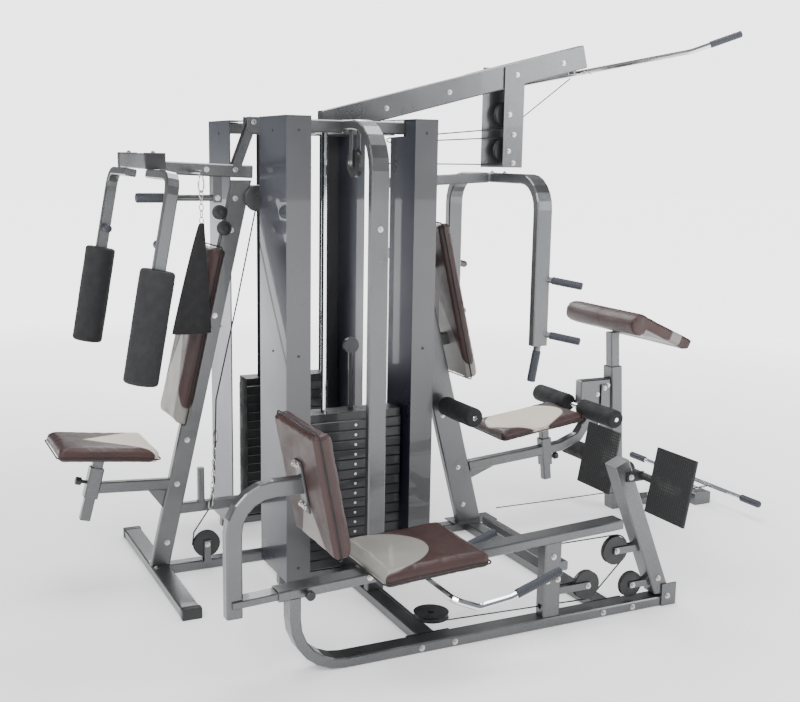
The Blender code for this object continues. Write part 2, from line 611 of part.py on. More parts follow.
def right_station():
    side = (0, 1, 0)
    level = (0, 0, 1)
    up = upward(-right_lean)
    face = Vector((up.z, 0, -up.x))
    base_top = floor_height + gap + plate
    foot = Vector((0.809, 0, base_top))

    def at(z):
        return foot + up * ((z - foot.z) / up.z)

    post = tube([at(base_top - 0.002), at(1.500)], side, 0.040, right_post_wide, level, level)
    shoe = block([0.707, 0.955], [-0.060, 0.060], [floor_height + gap, base_top])
    tie = tube([(column_x + 0.020 + gap, 0, 1.440), at(1.440)], side, 0.036, 0.048)
    pad_lean = radians(-13.5)
    pad_face = upward(pad_lean)
    pad_out = Vector((pad_face.z, 0, -pad_face.x))
    front = Vector((0.6765, 0, 1.2135))
    centre = front - pad_out * (right_back_thick / 2)
    pad_back = front - pad_out * (right_back_thick + gap)
    spacers = []
    for z in (1.000, 1.380):
        start = at(z)
        end = meet(start, start + Vector((1, 0, 0.1)), pad_back, pad_out)
        spacers.append(tube([start, end], side, 0.036, 0.060, end_cut=pad_out))
    axle = Vector((0.631, 0, 0.680))
    hole = rod(axle - Vector((0, 0.05, 0)), axle + Vector((0, 0.05, 0)), 0.0145, 16)
    weld("right_post", [post, shoe, tie] + spacers, "frame", cuts=[hole])
    place("right_back_pad", cushion(centre, (right_back_thick, 0.300, 0.791), pad_lean), "maroon", centre)
    rollers("rear_rollers", axle, 0.060, 0.360, 0.048)

    start = meet(at(0.340), at(0.340) + Vector((1, 0, 0)), at(0.340) + face * (right_post_wide / 2 + gap), face)
    path = [start, (1.180, 0, 0.370), (1.360, 0, 0.388), (1.470, 0, 0.430), (1.535, 0, 0.520), (1.555, 0, 0.640)]
    arm = tube(path, side, 0.050, 0.050, start_cut=face)
    gusset = slab([(start.x + 0.004, -0.003, 0.335), (start.x + 0.022, -0.003, 0.270), (1.020, -0.003, 0.345)],
                  side, 0, plate)
    block_low, block_high = 0.575, 0.735
    knee_x = 1.455
    holder = block([knee_x + 0.0125 + gap, 1.668], [-0.028, 0.028], [block_low, block_high], 0.004)
    front_up = upward(radians(-3.75))
    front_mid = Vector((1.690, 0, 0.740))

    def front_at(z):
        return front_mid + front_up * ((z - front_mid.z) / front_up.z)

    stand = tube([front_at(0.003), front_at(0.800)], side, 0.080, 0.070, start_cut=level)
    ground = bar((1.710, 0, floor_height / 2), (2.190, 0, floor_height / 2), side, 0.080, floor_height)
    tee = bar((2.230, -0.160, 0.035), (2.230, 0.140, 0.035), (1, 0, 0), 0.110, 0.069)
    sleeve, bore = sliding_seat("right", (1.270, 0, 0.360), radians(-6.0), (0.296, 0.440), 0.217,
                                (1.155, 0, 0.540), (0.504, 0.340, 0.045), radians(-7.4), 1, 0.328)
    post_bore = tube([front_at(0.545), front_at(0.900)], side, preacher_wide + 2 * gap, preacher_wide + 2 * gap,
                     corner=0.004)
    weld("right_seat_frame", [stand, arm, gusset, holder, ground, tee, sleeve], "frame", cuts=[bore, post_bore])

    rollers("knee_rollers", Vector((knee_x, 0, 0.600)), 0.060, 0.360, 0.048)
    px, _, pz = leg_pivot
    straps = []
    for sign in (-1, 1):
        edge = sorted([sign * 0.030, sign * 0.038])
        straps.append(block([px - 0.020, px + 0.020], edge, [0.316, pz + 0.020]))
    low_axle = Vector((px - 0.008, 0, 0.300))
    tie_bar = block([px - 0.022, px + 0.014], [-0.060, 0.060], [low_axle.z + 0.0125 + gap, low_axle.z + 0.036])
    weld("leg_developer", [tie_bar] + straps, "frame", leg_pivot)
    rollers("lower_rollers", low_axle, 0.062, 0.290, 0.048)

    preacher(front_at, front_up)
    profile = [(0, 0.017), (0.130, 0.017), (0.130, 0.0125), (0.970, 0.0125), (0.970, 0.017), (1.100, 0.017)]
    place("row_bar", turned(row_bar_end, side, profile, 14), "chrome", row_bar_end, smooth=True)


# Two foam rollers on one axle along Y.
def rollers(name, centre, inner, outer, radius):
    lip = 0.010
    half = [(inner, 0.0125), (inner, radius - lip), (inner + lip, radius),
            (outer - lip, radius), (outer, radius - lip)]
    profile = [(-along, size) for along, size in reversed(half)] + half
    place(name, turned(centre, (0, 1, 0), profile, 18), "foam", centre, smooth=True)


def preacher(front_at, front_up):
    lean = radians(-25)
    along = Vector((cos(lean), 0, sin(lean)))
    normal = Vector((-along.z, 0, along.x))
    roll = Vector((1.620, 0, 1.065))
    thick, radius, length = 0.050, 0.055, 0.360
    rise = radius - thick
    turn = 3 * pi / 2 + asin(rise / radius)
    steps = 9
    outline = []
    for step in range(steps + 1):
        angle = pi / 2 + turn * step / steps
        outline.append(roll + along * (radius * cos(angle)) + normal * (radius * sin(angle)))
    outline.append(roll + normal * rise + along * length)
    outline.append(roll + normal * radius + along * length)
    half = 0.300
    place("preacher_pad", slab(outline, (0, 1, 0), -half, 2 * half), "maroon", roll)
    under = rise - gap - 0.004
    board_ends = [roll + normal * under + along * 0.075, roll + normal * under + along * 0.250]
    board = tube(board_ends, (0, 1, 0), 0.160, 0.008, corner=0.001)
    neck_x = 1.700
    neck_top = meet((neck_x, 0, 0.9), (neck_x, 0, 1.1), roll + normal * under, normal)
    neck = tube([(neck_x - 0.004, 0, 0.972), neck_top], (0, 1, 0), 0.050, 0.016, end_cut=normal, corner=0.002)
    post = tube([front_at(0.560), front_at(0.985)], (0, 1, 0), preacher_wide, preacher_wide, end_cut=(0, 0, 1))
    weld("preacher_post", [post, neck, board], "frame", front_at(0.800))


def lat_tower():
    side = (0, 1, 0)
    rise = 0.2586

    def beam_at(x):
        return Vector((x, 0, 2.043 + rise * x))

    beam = tube([beam_at(-0.020), beam_at(1.400)], side, spine_wide, beam_deep, start_cut=(1, 0, 0))
    under = block([-0.200, 0.600], [-0.060, 0.060], [1.900, top_high + gap])
    stopper = rod((1.345, 0, 2.200 + 0.115), (1.345, 0, 2.360), 0.020, 14)
    weld("lat_beam", [beam, stopper], "frame", cuts=[under])
    half, thick = spine_wide / 2 + 0.0035, 0.005
    low = u_arm_pivot[2] + 0.050
    web_front = lat_pulley_low[0] + pulley_radius + 0.0115    # clear of the cable round the pulleys
    edge = web_front + thick + 0.0015
    near = block([0.930, edge], [-half - thick, -half], [low, 2.330])
    far = block([0.850, edge], [half, half + thick], [low, 2.330])
    web_wide = half + thick - 0.001
    web = block([web_front, web_front + thick], [-web_wide, web_wide], [low + 0.001, 1.990])
    weld("lat_post", [near, far, web], "frame")
    pulley("lat_pulley_upper", lat_pulley_high, side)
    pulley("lat_pulley_lower", lat_pulley_low, side)

    x, _, z = u_arm_pivot
    reach, foot = 0.430, 1.025
    path = [(x, -reach, foot), (x, -reach, z), (x, reach, z), (x, reach, foot)]
    pieces = [tube(rounded(path, 0.140, 6), (1, 0, 0), tube_wide, 0.045)]
    for sign in (-1, 1):
        y = sign * reach
        pieces.append(rod((x, y, foot + 0.010), (x - 0.030, y, 0.860), 0.0175, 14))
        for height in (1.340, 1.080):
            start = Vector((x + 0.025, y + sign * 0.010, height))
            pieces.append(rod(start, start + Vector((0.120, sign * 0.120, -0.025)), 0.0145))
    weld("u_arm", pieces, "frame", u_arm_pivot)
    path = [(1.950, -0.530, 2.505), (1.750, -0.410, 2.420), (1.110, 0.370, 2.250), (1.022, 0.601, 2.258)]
    piped("lat_bar", rounded(path, 0.080, 4), 0.0125, "chrome")


def arc(centre, radius, start, end, steps):
    turn = [radians(start + (end - start) * step / steps) for step in range(steps + 1)]
    return [(centre[0] + radius * cos(angle), centre[1], centre[2] + radius * sin(angle)) for angle in turn]


def cables():
    wrap = pulley_radius + 0.0010
    route = [(0.330, 0, 1.862)] + arc(lat_pulley_low, wrap + cable_radius, -90, 90, 8)
    route += [(0.330, 0, 1.960), (0.318, 0, 1.966), (0.318, 0, 1.974), (0.330, 0, 1.980)]
    route += arc(lat_pulley_high, wrap + cable_radius, -88, -62, 3) + [(1.334, 0, 2.296)]
    cable("cable_lat", route)

    turn = pulley_radius + 0.014
    fx, fy, fz = floor_pulley
    route = [(fx - turn, arch_y - tube_thin / 2 - 0.004, fz)]
    corner = [radians(180 + 90 * step / 4) for step in range(5)]
    route += [(fx + turn * cos(angle), fy + turn * sin(angle), fz) for angle in corner]
    route += arc(post_pulley, wrap + cable_radius, -92, -47, 3)
    cable("cable_leg_press", route)

    low_x = left_pulley[0] - wrap - cable_radius
    y = left_pulley[1]
    route = [(low_x, y, left_pulley[2]), (low_x + 0.008, y, 0.190), (-0.575, y, 0.290), (-0.548, y, 0.400)]
    route += [(-0.535, y, 0.800), (-0.430, y, 1.250), (-0.335, y, 1.690)]
    cable("cable_left", route, 0.0035)

    route = [(0.962, -0.030, 0.100), (1.300, -0.050, 0.105), (1.620, -0.062, 0.110), (1.780, -0.070, 0.095)]
    route += [(1.920, -0.085, 0.080), (2.120, -0.120, 0.082), (2.280, -0.135, 0.094)]
    cable("cable_row", route)


floor_frame()
arch()
top_frame()
covers()
weight_stack("front", stack_front_y, 1.035, True)
weight_stack("rear", stack_rear_y, 1.035, False)
left_station()
press_arms()
front_station()
leg_press()
right_station()
lat_tower()
cables()
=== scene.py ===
import json
from math import cos, pi, radians, sin

import bmesh
import bpy
from mathutils import Matrix, Vector, noise


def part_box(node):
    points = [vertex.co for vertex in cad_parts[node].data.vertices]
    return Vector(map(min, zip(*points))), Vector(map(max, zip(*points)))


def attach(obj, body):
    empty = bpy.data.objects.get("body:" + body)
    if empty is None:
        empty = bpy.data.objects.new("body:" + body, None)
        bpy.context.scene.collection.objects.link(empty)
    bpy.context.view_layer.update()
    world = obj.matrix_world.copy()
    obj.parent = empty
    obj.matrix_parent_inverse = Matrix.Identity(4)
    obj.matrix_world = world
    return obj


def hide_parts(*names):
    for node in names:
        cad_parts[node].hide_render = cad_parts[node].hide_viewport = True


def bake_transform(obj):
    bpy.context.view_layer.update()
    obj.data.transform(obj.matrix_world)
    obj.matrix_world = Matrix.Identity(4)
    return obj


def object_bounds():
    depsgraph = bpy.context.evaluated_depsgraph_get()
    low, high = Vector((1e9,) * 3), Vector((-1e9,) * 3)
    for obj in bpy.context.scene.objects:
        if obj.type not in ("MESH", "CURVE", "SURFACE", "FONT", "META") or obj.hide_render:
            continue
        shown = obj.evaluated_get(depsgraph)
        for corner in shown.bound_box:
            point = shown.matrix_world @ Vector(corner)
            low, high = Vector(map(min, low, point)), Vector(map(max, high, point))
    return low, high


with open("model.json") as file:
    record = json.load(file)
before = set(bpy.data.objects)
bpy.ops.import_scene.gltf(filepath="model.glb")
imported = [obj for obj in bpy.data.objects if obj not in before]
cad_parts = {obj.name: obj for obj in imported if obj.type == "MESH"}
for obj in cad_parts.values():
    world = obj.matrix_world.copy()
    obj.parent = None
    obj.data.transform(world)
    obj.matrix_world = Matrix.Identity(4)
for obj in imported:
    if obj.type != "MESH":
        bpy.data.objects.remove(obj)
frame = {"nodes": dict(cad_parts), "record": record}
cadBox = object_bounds()
joints = {entry["name"]: entry for entry in frame["record"]["behaviour"]["joints"]}
mainPlaneY = joints["leg_press"]["pos_m"][1]


# A socket that takes + - * < > in material maths.
class Value:
    def __init__(self, look, socket):
        self.look = look
        self.socket = socket

    def __add__(self, other):
        return self.look.maths("ADD", self, other)

    def __sub__(self, other):
        return self.look.maths("SUBTRACT", self, other)

    def __mul__(self, other):
        return self.look.maths("MULTIPLY", self, other)

    def __lt__(self, other):
        return self.look.maths("LESS_THAN", self, other)

    def __gt__(self, other):
        return self.look.maths("GREATER_THAN", self, other)

    def size(self):
        return self.look.maths("ABSOLUTE", self)

    def ramp(self, low, high, start=0.0, end=1.0):
        settings = {"Value": self, "From Min": low, "From Max": high, "To Min": start, "To Max": end}
        return Value(self.look, self.look.node("ShaderNodeMapRange", settings).outputs[0])


# One material: its Principled surface and the nodes that feed it.
class Look:
    def __init__(self, name, roughness, metallic=0.0, coat=0.0):
        self.material = bpy.data.materials.new(name)
        self.material.use_nodes = True
        self.tree = self.material.node_tree
        self.surface = self.tree.nodes["Principled BSDF"]
        self.surface.inputs["Roughness"].default_value = roughness
        self.surface.inputs["Metallic"].default_value = metallic
        self.surface.inputs["Coat Weight"].default_value = coat

    def plug(self, socket, value):
        if isinstance(value, Value):
            self.tree.links.new(value.socket, socket)
        else:
            socket.default_value = value

    def node(self, kind, inputs=None, **settings):
        made = self.tree.nodes.new(kind)
        for key, value in settings.items():
            setattr(made, key, value)
        for key, value in (inputs or {}).items():
            self.plug(made.inputs[key], value)
        return made

    def maths(self, operation, first, second=0.0):
        return Value(self, self.node("ShaderNodeMath", {0: first, 1: second}, operation=operation).outputs[0])

    def place(self):
        return Value(self, self.node("ShaderNodeTexCoord").outputs["Object"])

    def split(self, vector):
        made = self.node("ShaderNodeSeparateXYZ", {0: vector})
        return [Value(self, output) for output in made.outputs]

    def facing(self):
        return self.split(Value(self, self.node("ShaderNodeNewGeometry").outputs["Normal"]))

    def noise(self, scale, detail=4.0):
        made = self.node("ShaderNodeTexNoise", {"Vector": self.place(), "Scale": scale, "Detail": detail})
        return Value(self, made.outputs[0])

    def cells(self, scale, feature="F1"):
        made = self.node("ShaderNodeTexVoronoi", {"Vector": self.place(), "Scale": scale}, feature=feature)
        return Value(self, made.outputs["Distance"])

    def tint(self, amount, first, second):
        made = self.node("ShaderNodeMix", data_type="RGBA")
        for index, value in ((0, amount), (6, first), (7, second)):
            if isinstance(value, tuple):
                value = (*value, 1.0)
            self.plug(made.inputs[index], value)
        return Value(self, made.outputs[2])

    def finish(self, colour, roughness=None, height=None, depth=0.001, strength=0.5):
        self.plug(self.surface.inputs["Base Color"], colour)
        if roughness is not None:
            self.plug(self.surface.inputs["Roughness"], roughness)
        if height is not None:
            inputs = {"Height": height, "Distance": depth, "Strength": strength}
            bump = self.node("ShaderNodeBump", inputs)
            self.plug(self.surface.inputs["Normal"], Value(self, bump.outputs[0]))
        return self.material


# Powder coat on steel: fine metallic flake, a slow shift in tone and a few rubbed patches.
def silverCoat():
    look = Look("silverCoat", 0.34, 0.85, 0.25)
    flake = look.noise(900.0, 2.0)
    patch = look.noise(3.5, 3.0)
    rub = look.noise(38.0, 6.0).ramp(0.62, 0.74)
    tone = look.tint(patch, (0.070, 0.072, 0.074), (0.150, 0.153, 0.156))
    tone = look.tint(flake.ramp(0.5, 0.7, 0.0, 0.35), tone, (0.42, 0.43, 0.44))
    tone = look.tint(rub * 0.25, tone, (0.12, 0.12, 0.12))
    rough = patch.ramp(0.3, 0.7, 0.26, 0.40) + rub * 0.12
    return look.finish(tone, rough, flake + look.noise(60.0) * 2.0, 0.0004, 0.35)


# Sheet covers: one sheet with painted light by face direction, dark navy on the faces that look sideways and
# a lighter grey painted where they look to the front and back; the navy is painted paler towards the top as
# light from above.
def coverCoat():
    look = Look("coverCoat", 0.30, 0.55, 0.45)
    toFront = look.facing()[1]
    height = look.split(look.place())[2]
    patch = look.noise(2.2, 3.0)
    navy = look.tint(patch, (0.010, 0.011, 0.022), (0.030, 0.030, 0.055))
    # painted light: the navy is made paler towards the top, as if lit from above
    navy = look.tint(height.ramp(1.5, 2.05), navy, (0.030, 0.036, 0.050))
    # painted light: faces that look to the front or back get this lighter grey, and sideways faces keep the
    # navy
    faceLitGrey = look.tint(patch, (0.055, 0.055, 0.060), (0.105, 0.105, 0.110))
    tone = look.tint(toFront.size().ramp(0.4, 0.8), navy, faceLitGrey)
    peel = look.noise(170.0, 2.0)
    return look.finish(tone, patch.ramp(0.3, 0.7, 0.24, 0.38), peel, 0.0006, 0.15)


def weightCoat():
    look = Look("weightCoat", 0.38, 0.5, 0.3)
    speck = look.cells(420.0)
    tone = look.tint(look.noise(9.0, 4.0), (0.010, 0.010, 0.012), (0.040, 0.040, 0.043))
    tone = look.tint((speck < 0.12) * 0.3, tone, (0.3, 0.3, 0.3))
    return look.finish(tone, look.noise(16.0).ramp(0.3, 0.7, 0.28, 0.5), look.noise(220.0, 3.0), 0.0012, 0.5)


def chromePlate():
    look = Look("chromePlate", 0.1, 1.0)
    smear = look.noise(12.0, 5.0)
    tone = look.tint(smear, (0.72, 0.73, 0.75), (0.88, 0.88, 0.89))
    return look.finish(tone, smear.ramp(0.35, 0.7, 0.05, 0.17), look.noise(700.0, 2.0), 0.0002, 0.1)


def zincPlate():
    look = Look("zincPlate", 0.28, 1.0)
    smear = look.noise(90.0, 4.0)
    tone = look.tint(smear, (0.48, 0.47, 0.44), (0.70, 0.69, 0.66))
    return look.finish(tone, smear.ramp(0.3, 0.7, 0.2, 0.42), smear, 0.0003, 0.3)


def closedFoam(name="closedFoam"):
    look = Look(name, 0.85)
    pore = look.cells(620.0)
    wave = look.noise(24.0, 4.0)
    tone = look.tint(wave, (0.006, 0.006, 0.007), (0.018, 0.018, 0.020))
    return look.finish(tone, wave.ramp(0.3, 0.7, 0.7, 0.95), pore * 0.6 + wave * 2.0, 0.0018, 0.6)


def gripRubber():
    look = Look("gripRubber", 0.55)
    wave = look.noise(60.0, 4.0)
    tone = look.tint(wave, (0.016, 0.018, 0.026), (0.042, 0.046, 0.060))
    return look.finish(tone, wave.ramp(0.3, 0.7, 0.42, 0.65), look.cells(520.0), 0.0008, 0.5)


def mouldedPlastic():
    look = Look("mouldedPlastic", 0.42)
    grain = look.noise(480.0, 3.0)
    tone = look.tint(look.noise(14.0), (0.007, 0.007, 0.008), (0.022, 0.022, 0.024))
    return look.finish(tone, look.noise(30.0).ramp(0.3, 0.7, 0.32, 0.52), grain, 0.0005, 0.35)


# Foot plates: small raised diamonds, paler where shoes have rubbed the tops.
def treadRubber():
    look = Look("treadRubber", 0.6)
    _, y, z = look.split(look.place())
    diamondPitch = 250.0
    first = look.maths("SINE", (y + z) * diamondPitch)
    second = look.maths("SINE", (y - z) * diamondPitch)
    diamond = (first * second).ramp(-0.15, 0.45)
    scuff = look.noise(7.0, 8.0).ramp(0.58, 0.78)
    tone = look.tint(diamond * scuff, (0.012, 0.012, 0.013), (0.10, 0.10, 0.095))
    return look.finish(tone, diamond.ramp(0.0, 1.0, 0.5, 0.72), diamond, 0.0016, 0.8)


def wovenWebbing():
    look = Look("wovenWebbing", 0.88)
    x, _, z = look.split(look.place())
    threadPitch = 2600.0
    warp = look.maths("SINE", x * threadPitch) * look.maths("SINE", z * threadPitch)
    tone = look.tint(look.noise(40.0, 4.0), (0.006, 0.006, 0.007), (0.022, 0.022, 0.023))
    return look.finish(tone, 0.88, warp + look.noise(90.0), 0.0008, 0.6)


# Vinyl upholstery. The insert is bounded in the pad's own plane by a seam that is pressed in and stitched.
def vinyl(settings):
    look = Look(settings["name"] + "Vinyl", 0.42, 0.0, 0.08)
    turned = look.node("ShaderNodeVectorRotate", {"Vector": look.place(), "Center": settings["centre"],
                                                  "Angle": -settings["tilt"]}, rotation_type="Y_AXIS")
    shift = look.node("ShaderNodeVectorMath", {0: Value(look, turned.outputs[0]), 1: settings["centre"]},
                      operation="SUBTRACT")
    x, y, z = look.split(Value(look, shift.outputs[0]))
    along = x if settings["lies"] else z
    grain = look.cells(330.0, "DISTANCE_TO_EDGE").ramp(0.0, 0.12)
    crease = look.noise(11.0, 8.0)
    mottle = look.noise(5.0, 4.0)
    tone = look.tint(mottle, (0.016, 0.0044, 0.0034), (0.044, 0.0110, 0.0080))
    height = grain * 0.5 + crease * 3.0
    insert = settings.get("insert")
    if insert:
        edge = insertEdge(look, along, y, insert)
        pale = look.tint(mottle, insert["dark"], insert["light"])
        tone = look.tint(edge > 0.0, tone, pale)
        seam = edge.size().ramp(0.0, 0.004)
        stitch = look.maths("SINE", (along + y) * 900.0) > 0.1
        beside = look.maths("MULTIPLY", edge > 0.0045, edge < 0.0065)
        tone = look.tint(beside * stitch * 0.75, tone, (0.22, 0.16, 0.12))
        # painted shade: the pressed-in seam is darkened along its groove
        tone = look.tint(seam.ramp(0.0, 1.0, 0.7, 0.0), tone, (0.015, 0.006, 0.005))
        height = height + seam * 3.0
    return look.finish(tone, crease.ramp(0.3, 0.7, 0.30, 0.48), height, 0.0016, 0.45)


# Positive inside the insert, in metres to its edge.
def insertEdge(look, along, across, insert):
    if insert["shape"] == "arch":
        far = along - insert["from"]
        wide = across * insert["squash"]
        reach = look.maths("SQRT", far * far + wide * wide)
        return look.maths("SUBTRACT", insert["reach"], reach)
    if insert["shape"] == "wedge":
        return ((along - insert["from"]) * insert["slope"]) - across.size()
    return look.maths("SUBTRACT", insert["reach"], (along - insert["from"]).size())


def paintNode(look, name):
    data = frame["nodes"][name].data
    data.materials.clear()
    data.materials.append(look)


def addPiece(name, shape, look, body, smooth=True):
    bmesh.ops.recalc_face_normals(shape, faces=shape.faces)
    mesh = bpy.data.meshes.new(name)
    shape.to_mesh(mesh)
    shape.free()
    mesh.materials.append(look)
    if smooth:
        mesh.shade_smooth()
        mesh.set_sharp_from_angle(angle=radians(38))
    piece = bpy.data.objects.new(name, mesh)
    bpy.context.collection.objects.link(piece)
    if body:                          # a piece that runs between two bodies rides on neither
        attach(piece, body)
    return piece


def ringsBetween(shape, rows, closed=False):
    made = [[shape.verts.new(point) for point in row] for row in rows]
    pairs = list(zip(made, made[1:]))
    if closed:
        pairs.append((made[-1], made[0]))
    for low, high in pairs:
        for i, corner in enumerate(low):
            after = (i + 1) % len(low)
            shape.faces.new((corner, low[after], high[after], high[i]))
    if not closed:
        shape.faces.new(made[0])
        shape.faces.new(made[-1])


# A turned form from start along axis; profile holds (distance, radius) pairs.
def turn(shape, start, axis, profile, sides=24, ripple=0.0):
    face = Vector((0, 0, 1)).rotation_difference(Vector(axis).normalized()).to_matrix()
    rows = []
    for along, radius in profile:
        row = []
        for i in range(sides):
            angle = 2 * pi * i / sides
            spot = Vector((cos(angle), sin(angle), 0))
            swell = ripple * noise.noise(Vector((spot.x * 1.6, spot.y * 1.6, along * 14)) + Vector(start) * 3)
            reach = radius + swell
            row.append(Vector(start) + face @ Vector((spot.x * reach, spot.y * reach, along)))
        rows.append(row)
    ringsBetween(shape, rows)


def roundedEnds(length, radius, lip, middle=6, steps=5):
    profile = [(lip * (1 - cos(pi / 2 * i / steps)), radius - lip + lip * sin(pi / 2 * i / steps))
               for i in range(steps + 1)]
    profile = [(0.0, radius - lip - 0.004)] + profile
    body = [(lip + (length - 2 * lip) * i / middle, radius) for i in range(1, middle)]
    back = [(length - along, size) for along, size in reversed(profile)]
    return profile + body + back


# A closed tube round a loop or along a path of points.
def strand(shape, points, radius, closed=True, sides=8):
    path = [Vector(point) for point in points]
    count = len(path)
    rows = []
    for i, point in enumerate(path):
        before = path[i - 1] if closed or i else point
        after = path[(i + 1) % count] if closed or i < count - 1 else point
        run = (after - before).normalized()
        level = Vector((0, 0, 1)) if abs(run.z) < 0.9 else Vector((1, 0, 0))
        side = run.cross(level).normalized()
        up = side.cross(run)
        rows.append([point + (side * cos(2 * pi * k / sides) + up * sin(2 * pi * k / sides)) * radius
                     for k in range(sides)])
    ringsBetween(shape, rows, closed)


def meshOf(name):
    return [vertex.co.copy() for vertex in frame["nodes"][name].data.vertices]


# Centre and half sizes of a node in its own tilted axes.
def tiltedBox(name, tilt):
    straight = Matrix.Rotation(-tilt, 3, "Y")
    points = [straight @ point for point in meshOf(name)]
    low = Vector([min(point[i] for point in points) for i in range(3)])
    high = Vector([max(point[i] for point in points) for i in range(3)])
    return Matrix.Rotation(tilt, 3, "Y") @ ((low + high) / 2), (high - low) / 2


def inflate(piece, cap, lastFrame=20):
    rest = [vertex.co.copy() for vertex in piece.data.vertices]
    cloth = piece.modifiers.new("cloth", "CLOTH")
    cloth.settings.quality = 4
    cloth.settings.use_pressure = True
    cloth.settings.uniform_pressure_force = 4.0
    cloth.settings.effector_weights.gravity = 0.0
    cloth.point_cache.frame_start = 1
    cloth.point_cache.frame_end = lastFrame
    scene = bpy.context.scene
    for number in range(1, lastFrame + 1):
        scene.frame_set(number)
    result = piece.evaluated_get(bpy.context.evaluated_depsgraph_get())
    moved = [vertex.co.copy() for vertex in result.data.vertices]
    piece.modifiers.remove(cloth)
    scene.frame_set(1)
    for vertex, start, end in zip(piece.data.vertices, rest, moved):
        step = end - start
        if step.length > cap:
            step = step.normalized() * cap
        vertex.co = start + step


# An upholstered pad: the CAD solid remeshed, puffed up, held off its backing and given piping.
def pad(settings):
    node = frame["nodes"][settings["node"]]
    centre, half = tiltedBox(settings["node"], settings["tilt"])
    settings["centre"] = centre
    mesh = node.data.copy()
    mesh.name = settings["name"]
    mesh.materials.clear()
    mesh.materials.append(vinyl(settings))
    piece = bpy.data.objects.new(settings["name"], mesh)
    bpy.context.collection.objects.link(piece)
    remesh = piece.modifiers.new("remesh", "REMESH")
    remesh.mode = "VOXEL"
    remesh.voxel_size = 0.006
    smooth = piece.modifiers.new("smooth", "SMOOTH")
    smooth.factor = 0.6
    smooth.iterations = 6
    piece.data = bpy.data.meshes.new_from_object(piece.evaluated_get(bpy.context.evaluated_depsgraph_get()))
    piece.modifiers.clear()
    inflate(piece, settings["cap"])
    turned = Matrix.Rotation(settings["tilt"], 3, "Y")
    normal = turned @ Vector((0, 0, 1) if settings["lies"] else (1, 0, 0)) * settings["front"]
    thick = half.z if settings["lies"] else half.x
    back = centre - normal * (thick - 0.0005)
    for vertex in piece.data.vertices:
        sunk = (vertex.co - back).dot(normal)
        if sunk < 0:
            vertex.co -= normal * sunk
    piece.data.shade_smooth()
    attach(piece, settings["body"])
    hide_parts(settings["node"])
    if settings.get("piping", True):
        piping(settings, centre, half, turned, normal, thick)
    print("pad", settings["name"], len(piece.data.vertices))


def piping(settings, centre, half, turned, normal, thick):
    longSide = turned @ Vector((1, 0, 0) if settings["lies"] else (0, 0, 1))
    reach = half.x if settings["lies"] else half.z
    corner = 0.026
    spots = []
    for sx, sy, turnFrom in ((1, 1, 0), (-1, 1, 90), (-1, -1, 180), (1, -1, 270)):
        for step in range(6):
            angle = radians(turnFrom + 90 * step / 5)
            u = sx * (reach - corner) + corner * cos(angle)
            v = sy * (half.y - corner) + corner * sin(angle)
            spots.append(centre + longSide * u + Vector((0, v, 0)) - normal * (thick * 0.35))
    spots = evenly(spots, 0.02)
    shape = bmesh.new()
    strand(shape, spots, 0.0032)
    addPiece(settings["name"] + "Piping", shape, pipingLook, settings["body"])


def evenly(spots, step):
    result = []
    for start, end in zip(spots, spots[1:] + spots[:1]):
        count = max(1, round((end - start).length / step))
        result += [start.lerp(end, i / count) for i in range(count)]
    return result


def grip(name, start, end, radius, body, ribs=True):
    start, end = Vector(start), Vector(end)
    length = (end - start).length
    lip = 0.006
    profile = [(0.0, radius - lip), (0.002, radius - 0.002), (lip, radius)]
    count = max(3, int(length / 0.011))
    for i in range(count):
        along = lip + (length - 2 * lip) * (i + 0.5) / count
        dip = 0.0011 if ribs else 0.0
        profile += [(along - 0.0025, radius), (along, radius - dip), (along + 0.0025, radius)]
    profile += [(length - lip, radius), (length - 0.002, radius - 0.002), (length, radius - lip)]
    shape = bmesh.new()
    turn(shape, start, end - start, profile, 20)
    return addPiece(name, shape, gripLook, body)


def foamRoll(shape, start, end, radius):
    start, end = Vector(start), Vector(end)
    length = (end - start).length
    turn(shape, start, end - start, roundedEnds(length, radius, 0.014, 14), 40, 0.0012)


# Foam rollers on their axle, from the CAD node's own box along Y.
def rollerPair(name, node, body, inner):
    low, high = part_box(node)
    x, z = (low[0] + high[0]) / 2, (low[2] + high[2]) / 2
    radius = (high[0] - low[0]) / 2 - 0.0012
    foam = bmesh.new()
    for side in (-1, 1):
        foamRoll(foam, (x, side * inner, z), (x, side * high[1], z), radius)
    piece = addPiece(name, foam, foamLook, body)
    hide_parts(node)
    axle = bmesh.new()
    span = 2 * high[1]
    profile = [(0, 0.010), (0.002, 0.0122), (span + 0.004, 0.0122), (span + 0.006, 0.010)]
    turn(axle, (x, -high[1] - 0.003, z), (0, 1, 0), profile, 20)
    addPiece(name + "Axle", axle, chromeLook, body)


